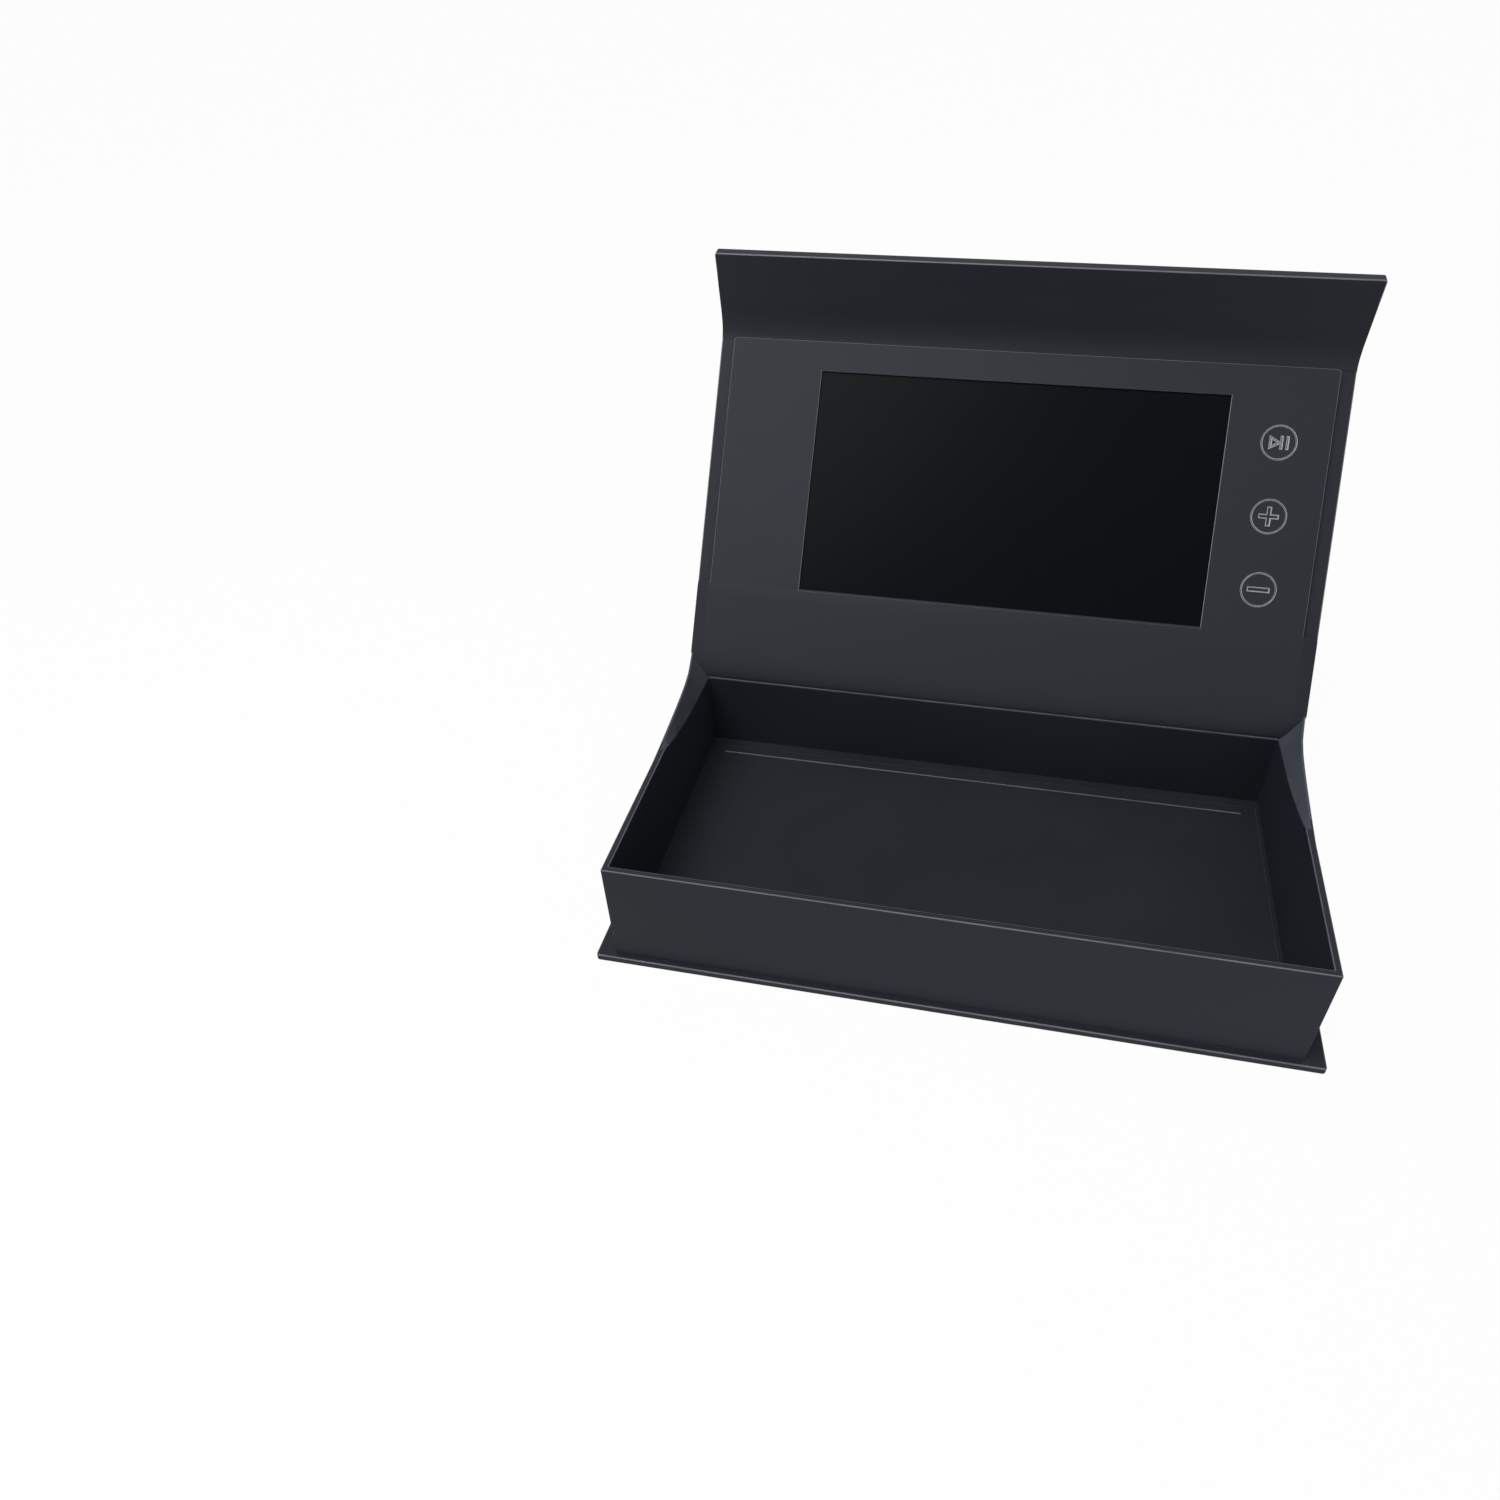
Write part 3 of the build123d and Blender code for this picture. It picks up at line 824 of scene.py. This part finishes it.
# --- lid
@dataclass
class Lid:
    """The wrapped lid, its raised panel with the window, and the three caps."""

    finishes: Finishes
    hinges: Hinges
    width: float = 239.0
    length: float = 126.5
    outside: float = -9.0
    inner_face: float = -2.0
    panel_width: float = 227.5
    panel_bottom: float = 3.2
    panel_top: float = 124.8
    panel_face: float = 0.3
    window_width: float = 154.08
    window_height: float = 85.92
    window_middle: float = 70.5
    cap_x: float = 95.7
    cap_pitch: float = 26.9
    cap_radius: float = 6.0
    cap_gap: float = 0.2
    cap_base: float = -0.7
    corner: float = 1.0
    panel_corner: float = 1.2
    port_corner: float = 0.8
    edge: float = 0.45
    panel_edge: float = 0.22
    cut_edge: float = 0.2
    symbol_depth: float = 0.3
    triangle_x: float = -1.9
    triangle_radii: Side = (2.7, 1.5)
    triangle_turn: float = -30.0
    bar_lefts: Side = (0.55, 2.65)
    bar_width: float = 0.66
    bar_half: float = 2.3
    plus_arm: float = 3.4
    plus_half: float = 0.65
    minus_arm: float = 3.8
    minus_half: float = 0.75
    bay_width: float = 217.92
    bay_bottom: float = 8.0
    bay_top: float = 121.5
    bay_floor: float = -6.5
    port_along: float = 84.0
    port_width: float = 8.7
    port_height: float = 3.0
    port_depth: float = 17.0

    def build(self) -> None:
        """Builds and dresses the lid's pieces."""
        self.body()
        self.panel()
        self.caps()

    def body(self) -> None:
        """The lid's board and spacer in one hollow wrap, with the charging port at its left."""
        half = self.width / 2
        low = (-half, 0.0, self.outside)
        shape = Shape.block("lid_body_wrap", low, (half, self.length, self.inner_face))
        shape.round_edges(lambda at, way: abs(way.z) > ALONG, self.corner)
        y0, y1 = self.port_along - self.port_width / 2, self.port_along + self.port_width / 2
        z0, z1 = self.bay_floor, self.bay_floor + self.port_height
        port = Shape.block("port", (-half - 1, y0, z0), (-half + self.port_depth, y1, z1))
        port.round_edges(lambda at, way: abs(way.x) > ALONG, self.port_corner)
        shape.take_away(port)
        shape.dress(self.finishes.on_boards)
        shape.soften(self.edge)
        shape.take_away(self.bay(self.bay_floor, self.inner_face + 1))
        boards = ("lid_outer_board", "lid_spacer")
        shape.finish(Body.LID, "wrapped_board", boards, self.hinges.lid_place())

    def bay(self, low: float, high: float) -> Shape:
        """The space for the display, the battery and the boards, between two heights.

        Args:
            low: its lower Z, in the lid's frame.
            high: its upper Z.

        Returns:
            The space as a shape.
        """
        half = self.bay_width / 2
        return Shape.block("bay", (-half, self.bay_bottom, low), (half, self.bay_top, high))

    def panel(self) -> None:
        """The raised panel, with its window and the caps' holes cut through."""
        half = self.panel_width / 2
        low = (-half, self.panel_bottom, self.inner_face - 0.05)
        shape = Shape.block("screen_panel", low, (half, self.panel_top, self.panel_face))
        shape.round_edges(lambda at, way: abs(way.z) > ALONG, self.panel_corner)
        shape.take_away(self.bay(self.inner_face - 1, self.cap_base))
        side, rise = self.window_width / 2, self.window_height / 2
        low = (-side, self.window_middle - rise, self.inner_face - 1)
        high = (side, self.window_middle + rise, self.panel_face + 1)
        shape.take_away(Shape.block("window", low, high))
        for step in (-1, 0, 1):
            place = (self.cap_x, self.window_middle + step * self.cap_pitch, 0.0)
            shape.take_away(Shape.disc("hole", self.cap_radius + self.cap_gap, place, 8.0))
        # The panel's rounded edges take the paler edge finish: partly wear, partly painted
        # highlight.
        shape.dress([self.finishes.panel, self.finishes.rubbed_and_highlit])
        shape.soften(self.panel_edge, 2)
        self.mark_cuts(shape)
        boards = ("panel_frame", "panel_cover")
        shape.finish(Body.LID, "panel_paper", boards, self.hinges.lid_place())

    def mark_cuts(self, shape: Shape) -> None:
        """Gives the rims of the caps' holes the pale edge finish: a painted highlight.

        Args:
            shape: the panel.
        """
        shape.obj.data.materials.append(self.finishes.cut)
        for face in shape.obj.data.polygons:
            at = face.center
            in_holes = abs(at.x - self.cap_x) < self.cap_radius + 0.5
            on_rim = at.z > self.cap_base + 0.4 and face.area < 6 and face.material_index == 1
            if in_holes and on_rim and at.y < self.panel_top - 2:
                face.material_index = 2

    def caps(self) -> None:
        """The three round paper caps, each with its symbol pressed in."""
        middle_z = (self.cap_base + self.panel_face) / 2
        for name, step, press_symbol, body, node in (
            ("play_cap", 1, self.press_play, Body.PLAY, "play_button"),
            ("louder_cap", 0, self.press_plus, Body.LOUDER, "volume_up_button"),
            ("quieter_cap", -1, self.press_minus, Body.QUIETER, "volume_down_button"),
        ):
            y = self.window_middle + step * self.cap_pitch
            place = (self.cap_x, y, middle_z)
            cap = Shape.disc(name, self.cap_radius, place, self.panel_face - self.cap_base)
            press_symbol(cap, y)
            # The caps' rounded edges and their symbols' edges take a painted highlight.
            cap.dress([self.finishes.panel, self.finishes.cut])
            cap.soften(self.cut_edge, 2)
            cap.finish(body, "panel_paper", (node,), self.hinges.lid_place())

    def press(self, cap: Shape, low: Side, high: Side, middle_y: float) -> None:
        """Presses a rectangle into a cap.

        Args:
            cap: the cap.
            low: the rectangle's lower left corner, from the cap's middle.
            high: its upper right corner.
            middle_y: the cap's middle, up the lid.
        """
        bottom = self.panel_face - self.symbol_depth
        tool = Shape.block(
            "press",
            (self.cap_x + low[0], middle_y + low[1], bottom),
            (self.cap_x + high[0], middle_y + high[1], self.panel_face + 1),
        )
        cap.take_away(tool)

    def press_play(self, cap: Shape, y: float) -> None:
        """Presses in an outlined triangle and two bars.

        Args:
            cap: the cap.
            y: the cap's middle, up the lid.
        """
        middle = (self.cap_x + self.triangle_x, y, self.panel_face - self.symbol_depth + 0.5)
        outer, inner = self.triangle_radii
        tool = Shape.disc("press", outer, middle, 1.0, 3)
        core = Shape.disc("core", inner, middle, 1.4, 3)
        turn = math.radians(self.triangle_turn)
        for part in (tool, core):
            part.pick_all()
            bpy.ops.transform.rotate(value=turn, orient_axis="Z", center_override=middle)
        tool.take_away(core)
        cap.take_away(tool)
        for left in self.bar_lefts:
            self.press(cap, (left, -self.bar_half), (left + self.bar_width, self.bar_half), y)

    def press_plus(self, cap: Shape, y: float) -> None:
        """Presses in a plus.

        Args:
            cap: the cap.
            y: the cap's middle, up the lid.
        """
        arm, half = self.plus_arm, self.plus_half
        cross = Shape.block(
            "cross",
            (self.cap_x - arm, y - half, self.panel_face - self.symbol_depth),
            (self.cap_x + arm, y + half, self.panel_face + 1),
        )
        cross.cut(0, [self.cap_x - half, self.cap_x + half])
        for way in (-1, 1):
            cross.pick(
                Pick.FACES,
                lambda at, normal: normal.y * way > ALONG and abs(at.x - self.cap_x) < half,
            )
            cross.extrude((0, way * (arm - half), 0))
        cross.mend()
        cap.take_away(cross)

    def press_minus(self, cap: Shape, y: float) -> None:
        """Presses in a minus.

        Args:
            cap: the cap.
            y: the cap's middle, up the lid.
        """
        arm, half = self.minus_arm, self.minus_half
        self.press(cap, (-arm, -half), (arm, half), y)


# --- flap
@dataclass
class Flap:
    """The wrapped closing flap at the lid's free edge."""

    finishes: Finishes
    hinges: Hinges
    width: float = 239.0
    start: float = 3.2
    length: float = 29.8
    thickness: float = 4.0
    corner: float = 1.0
    edge: float = 0.4

    def build(self) -> None:
        """Builds and dresses the flap: its board and its lining in one wrap."""
        half = self.width / 2
        low = (-half, self.start, -self.thickness)
        shape = Shape.block("flap_wrap", low, (half, self.length, 0.0))
        shape.round_edges(lambda at, way: abs(way.z) > ALONG, self.corner)
        shape.dress(self.finishes.on_boards)
        shape.soften(self.edge)
        boards = ("flap_board", "flap_liner")
        shape.finish(Body.FLAP, "wrapped_board", boards, self.hinges.flap_place())


# --- paper hinges
@dataclass
class PaperHinges:
    """The wrap and the lining where the lid and the flap bend."""

    finishes: Finishes
    hinges: Hinges
    width: float = 239.0
    paper: float = 0.3
    back_wall_front: float = 58.65
    back_wall_top: float = 35.7
    rim_top: float = 43.7
    tray_side: float = 110.4
    panel_side: float = 114.2
    spine_back: float = 63.5
    lid_outside: float = -9.0
    inner_face: float = -2.0
    flap_thickness: float = 4.0
    panel_face: float = 0.3
    # Along the lid: where each paper's bend has its corner and meets the lid, then its rows.
    lid_lining_corner: float = -9.0
    lid_lining_meets: float = 2.6
    lid_rows: tuple[float, ...] = (7.0, 12.0, 17.0, 22.0, 26.0)
    lid_lining_end: float = 28.0
    lid_wrap_meets: float = 3.0
    lid_wrap_rows: Point = (12.0, 20.0, 40.0)
    flap_corner: float = 129.0
    flap_lining_starts: float = 125.0
    flap_wrap_starts: Point = (96.0, 116.0, 126.2)
    # Up the spine's back: the lid wrap's rows, the last where it bends, then its corner.
    spine_rows: tuple[float, ...] = (5.0, 14.0, 24.0, 28.0)
    spine_corner: float = 37.0
    # Along the flap: where the bend ends, then the paper's rows.
    flap_lining_rows: Point = (9.5, 11.0, 26.0)
    flap_wrap_rows: Point = (9.0, 14.0, 28.0)
    lid_wrap_lift: float = 0.16
    flap_wrap_lift: float = 0.12
    flap_lining_lift: float = 0.05
    sink: float = 0.45

    @property
    def panel_level(self) -> float:
        """The middle of a paper that lies on the panel, in the lid's frame."""
        return self.panel_face + self.paper / 2

    def build(self) -> None:
        """Builds and dresses the four papers, whose ends sink into the boards."""
        self.lid_lining()
        self.lid_wrap()
        self.flap_lining()
        self.flap_wrap()

    def thicken(self, shape: Shape) -> None:
        """Dresses a strip and gives it the paper's thickness."""
        shape.dress(self.finishes.on_boards)
        shape.apply("SOLIDIFY", {"thickness": self.paper, "offset": 0.0})

    def lay(
        self, shape: Shape, node: str, start: Side, end: Side
    ) -> None:
        """Finishes a paper, on no body, and bakes its place into its mesh.

        Args:
            shape: the paper.
            node: the node that it replaces.
            start: the (y, z) where it leaves the first, in millimetres.
            end: the (y, z) where it meets the second.
        """
        shape.finish(None, "wrap_paper", (node,))
        ends = {"start": (0, *(v * MM for v in start)), "end": (0, *(v * MM for v in end))}
        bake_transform(shape.obj)

    def lid_lining(self) -> None:
        """From the back wall's rim in one smooth hollow over the panel's lower end."""
        on_lid = self.hinges.on_lid
        start = (self.back_wall_front - 0.1, self.back_wall_top + 0.1)
        low = (self.back_wall_front + 0.4, self.back_wall_top + 0.25)
        level = self.panel_level + 0.02
        rows = [on_lid(up, level) for up in self.lid_rows]
        meets = on_lid(self.lid_lining_meets, level)
        curve = arc(on_lid(self.lid_lining_corner, level), low, meets, 16)
        line = [start] + curve + rows + [on_lid(self.lid_lining_end, level - 0.5)]
        shape = Shape.drawn("lid_hinge_lining", line, self.width - 0.4)
        shape.cut(0, [-self.panel_side, -self.tray_side, self.tray_side, self.panel_side])
        for y, z in line:
            lay_row = self.draw_in if z < self.rim_top else self.lay_margin
            lay_row(shape, (y, z))
        shape.mend()
        self.thicken(shape)
        # The lowest faces, on the back wall's rim, take the paler edge finish: a painted highlight
        # along that rim.
        for face in shape.obj.data.polygons:
            if face.center.z < self.back_wall_top + 0.3 and face.normal.y < 0.5:
                face.material_index = 1
        self.lay(shape, "lid_hinge_liner", low, on_lid(3.0, level))

    def pick_row(self, shape: Shape, row: Side, beside: Callable[[float], bool]) -> None:
        """Selects a row's points whose X passes a test.

        Args:
            shape: the strip.
            row: the row's (y, z).
            beside: takes a point's X.
        """
        y, z = row
        shape.pick(
            Pick.VERTS, lambda at, _n: beside(at.x) and math.hypot(at.y - y, at.z - z) < 0.05
        )

    def draw_in(self, shape: Shape, row: Side) -> None:
        """Draws one row's sides in, so that they follow the ears' back edges.

        Args:
            shape: the strip.
            row: the row's (y, z).
        """
        rise = max(0.0, row[1] - self.back_wall_top - 0.3) / (self.rim_top - self.back_wall_top)
        limit = self.tray_side + rise * (self.width / 2 - 0.4 - self.tray_side)
        for side in (-1, 1):
            for place in (self.panel_side, self.width / 2 - 0.2):
                if place <= limit:
                    continue
                self.pick_row(shape, row, lambda x: abs(x * side - place) < 0.1)
                shape.move((side * (limit - place), 0, 0))

    def lay_margin(self, shape: Shape, row: Side) -> None:
        """Lays one row's side edges down on to the lid's margin.

        Args:
            shape: the strip.
            row: the row's (y, z).
        """
        lid = self.hinges.lid_place()
        row_height = (lid.inverted() @ Vector((0, *row))).z
        over = max(self.panel_level, row_height) - self.inner_face - self.paper
        step = (lid.to_3x3() @ Vector((0, 0, -max(0.0, over)))).to_tuple()
        edge = self.width / 2 - 1
        self.pick_row(shape, row, lambda x: abs(x) > edge)
        shape.move(step)

    def lid_wrap(self) -> None:
        """From the spine's back in a round turn on to the lid's outside."""
        on_lid = self.hinges.on_lid
        out = self.spine_back + self.lid_wrap_lift
        skin = self.lid_outside - self.lid_wrap_lift
        sunk, *rows, bend = self.spine_rows
        start, end = (out, bend), on_lid(self.lid_wrap_meets, skin)
        line = [(out - self.sink, sunk)] + [(out, row) for row in rows]
        line += arc((out, self.spine_corner), start, end, 14)
        *rows, sunk = self.lid_wrap_rows
        line += [on_lid(row, skin) for row in rows] + [on_lid(sunk, skin + self.sink)]
        shape = Shape.drawn("lid_hinge_wrap_paper", line, self.width - 0.4)
        self.thicken(shape)
        self.lay(shape, "lid_hinge_wrap", start, end)

    def flap_lining(self) -> None:
        """A wide smooth hollow between the lid's inner face and the flap's."""
        on_lid, on_flap = self.hinges.on_lid, self.hinges.on_flap
        skin = self.inner_face + self.flap_lining_lift
        bend, flat, sunk = self.flap_lining_rows
        start, end = on_lid(self.flap_lining_starts, skin), on_flap(bend, self.flap_lining_lift)
        line = arc(on_lid(self.flap_corner, skin), start, end, 16)
        line += [on_flap(flat, 0.03), on_flap(sunk, -0.3)]
        shape = Shape.drawn("flap_hinge_lining", line, self.width - 0.2)
        self.thicken(shape)
        end = on_flap(9.0, self.flap_lining_lift)
        self.lay(shape, "flap_hinge_liner", start, end)

    def flap_wrap(self) -> None:
        """The outside of that bend."""
        on_lid, on_flap = self.hinges.on_lid, self.hinges.on_flap
        skin = self.lid_outside - self.flap_wrap_lift
        out = -self.flap_thickness - self.flap_wrap_lift
        sunk, flat, bend = self.flap_wrap_starts
        line = [on_lid(sunk, skin + self.sink), on_lid(flat, skin)]
        start = on_lid(bend, skin)
        bend, flat, sunk = self.flap_wrap_rows
        end = on_flap(bend, out)
        line += arc(on_lid(self.flap_corner, skin), start, end, 14)
        line += [on_flap(flat, out), on_flap(sunk, out + 0.4)]
        shape = Shape.drawn("flap_hinge_wrap_paper", line, self.width - 0.4)
        self.thicken(shape)
        self.lay(shape, "flap_hinge_wrap", start, end)


# --- what the solids show
@dataclass
class Fittings:
    """The tray's floor, the display, the player's parts and the magnets."""

    finishes: Finishes

    def build(self) -> None:
        """Dresses each node that keeps its own shape."""
        finishes = self.finishes
        looks = (
            (finishes.lining, ("tray_floor",)),
            (finishes.glass, ("lcd_cell",)),
            (finishes.light_guide, ("lcd_backlight",)),
            (finishes.foam, ("lcd_pads",)),
            (finishes.flex, ("display_flex",)),
            (finishes.board, ("button_board", "driver_board")),
            (finishes.plastic, ("button_switches", "speaker", "play_plunger")),
            (finishes.plastic, ("volume_up_plunger", "volume_down_plunger")),
            (finishes.resin, ("driver_chips", "lid_sensor")),
            (finishes.plated, ("usb_socket",)),
            (finishes.pouch, ("battery",)),
            (finishes.magnet, ("case_magnets", "trigger_magnet", "flap_magnets")),
        )
        for material, nodes in looks:
            for node in nodes:
                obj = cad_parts[node]
                obj.data.materials.clear()
                obj.data.materials.append(material)
                log.info("%s: dressed in %s", node, material.name)


# --- studio
@dataclass(frozen=True)
class Lamp:
    """A square soft lamp: its place and its side in millimetres, its power in watts."""

    name: str
    at: Point
    size: float
    power: float


@dataclass
class Studio:
    """A pale floor, soft lamps, a white surround and the camera."""

    lamps: tuple[Lamp, ...] = (
        Lamp("key", (-350, -350, 950), 620, 7.5),
        Lamp("fill", (420, -820, 120), 520, 1.2),
    )
    lamps_aim: Point = (0.0, 30.0, 60.0)
    floor_glow: float = 0.97
    world_light: float = 0.25
    camera_at: Point = (5.9399, -288.4995, 293.8060)
    camera_right: Point = (0.97785, 0.20841, -0.01949)
    camera_up: Point = (-0.12018, 0.63525, 0.76290)
    lens: float = 26.103
    shift_x: float = -0.03219
    shift_y: float = 0.01299

    def build(self) -> None:
        """Sets the stage."""
        self.floor()
        self.surround()
        for lamp in self.lamps:
            self.light(lamp)
        self.camera()
        bpy.context.scene.view_settings.view_transform = "Standard"

    def floor(self) -> None:
        """A pale floor whose shadow stays faint against the white surround."""
        start_clean()
        bpy.ops.mesh.primitive_plane_add(size=8.0, location=(0, 0, -0.0002))
        plane = bpy.context.object
        plane.name = "studio_floor"
        material = bpy.data.materials.new("matte_white_card")
        add = blank(material)
        place = add("ShaderNodeTexCoord").outputs["Object"]
        speck = add("ShaderNodeTexNoise", sockets={"Vector": place, "Scale": 40.0}).outputs["Fac"]
        stops = ((0.3, "e9e9e9"), (0.7, "ededed"))
        card = add("ShaderNodeValToRGB", sockets={"Fac": speck}, stops=stops).outputs["Color"]
        diffuse = add(
            "ShaderNodeBsdfPrincipled",
            sockets={"Base Color": card, "Roughness": 0.9, "Specular IOR Level": 0.0},
        ).outputs["BSDF"]
        white = add("ShaderNodeEmission", sockets={"Strength": 1.0}).outputs[0]
        share = add(
            "ShaderNodeMath", {"operation": "MULTIPLY"}, {0: self.seen(add), 1: self.floor_glow}
        ).outputs[0]
        mixed = add("ShaderNodeMixShader", sockets={0: share, 1: diffuse, 2: white}).outputs[0]
        add("ShaderNodeOutputMaterial", sockets={"Surface": mixed})
        plane.data.materials.append(material)

    def seen(self, add: Adder) -> bpy.types.NodeSocket:
        """1 where a camera, glossy or transmission ray arrives.

        Args:
            add: adds a node to the material or the world.

        Returns:
            The output that says so.
        """
        rays = add("ShaderNodeLightPath").outputs
        out = rays["Is Camera Ray"]
        for kind in ("Is Glossy Ray", "Is Transmission Ray"):
            larger = add("ShaderNodeMath", {"operation": "MAXIMUM"}, {0: out, 1: rays[kind]})
            out = larger.outputs[0]
        return out

    def surround(self) -> None:
        """White to the camera and in reflections, and a dim light to everything else."""
        world = bpy.data.worlds.new("white_surround")
        bpy.context.scene.world = world
        add = blank(world)
        dim, white = (
            add(
                "ShaderNodeBackground", sockets={"Color": linear("ffffff"), "Strength": power}
            ).outputs[0]
            for power in (self.world_light, 1.0)
        )
        mixed = add("ShaderNodeMixShader", sockets={0: self.seen(add), 1: dim, 2: white})
        add("ShaderNodeOutputWorld", sockets={"Surface": mixed.outputs[0]})

    def light(self, lamp: Lamp) -> None:
        """Sets a lamp that faces the box.

        Args:
            lamp: the lamp.
        """
        bpy.ops.object.light_add(type="AREA", location=[v * MM for v in lamp.at])
        obj = bpy.context.object
        obj.name = lamp.name
        obj.data.size = lamp.size * MM
        obj.data.energy = lamp.power
        aim = Vector(self.lamps_aim) * MM - obj.location
        obj.rotation_euler = aim.to_track_quat("-Z", "Y").to_euler()

    def camera(self) -> None:
        """The camera, with the shift that its framing needs."""
        bpy.ops.object.camera_add(location=[v * MM for v in self.camera_at])
        obj = bpy.context.object
        right, up = Vector(self.camera_right), Vector(self.camera_up)
        back = right.cross(up).normalized()
        up = back.cross(right).normalized()
        turn = Matrix((right, up, back)).transposed()
        obj.rotation_euler = turn.to_euler()
        obj.data.sensor_width = 36.0
        obj.data.lens = self.lens
        obj.data.shift_x = self.shift_x
        obj.data.shift_y = self.shift_y
        obj.data.clip_start = 0.01
        bpy.context.scene.camera = obj


def main() -> None:
    """Builds the box, its finishes and the studio."""
    logging.basicConfig(level=logging.INFO, format="%(name)s: %(message)s")
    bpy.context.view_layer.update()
    finishes, hinges = Finishes(), Hinges()
    Case(finishes).build()
    Lid(finishes, hinges).build()
    Flap(finishes, hinges).build()
    PaperHinges(finishes, hinges).build()
    Fittings(finishes).build()
    Studio().build()


if __name__ == "__main__":
    main()
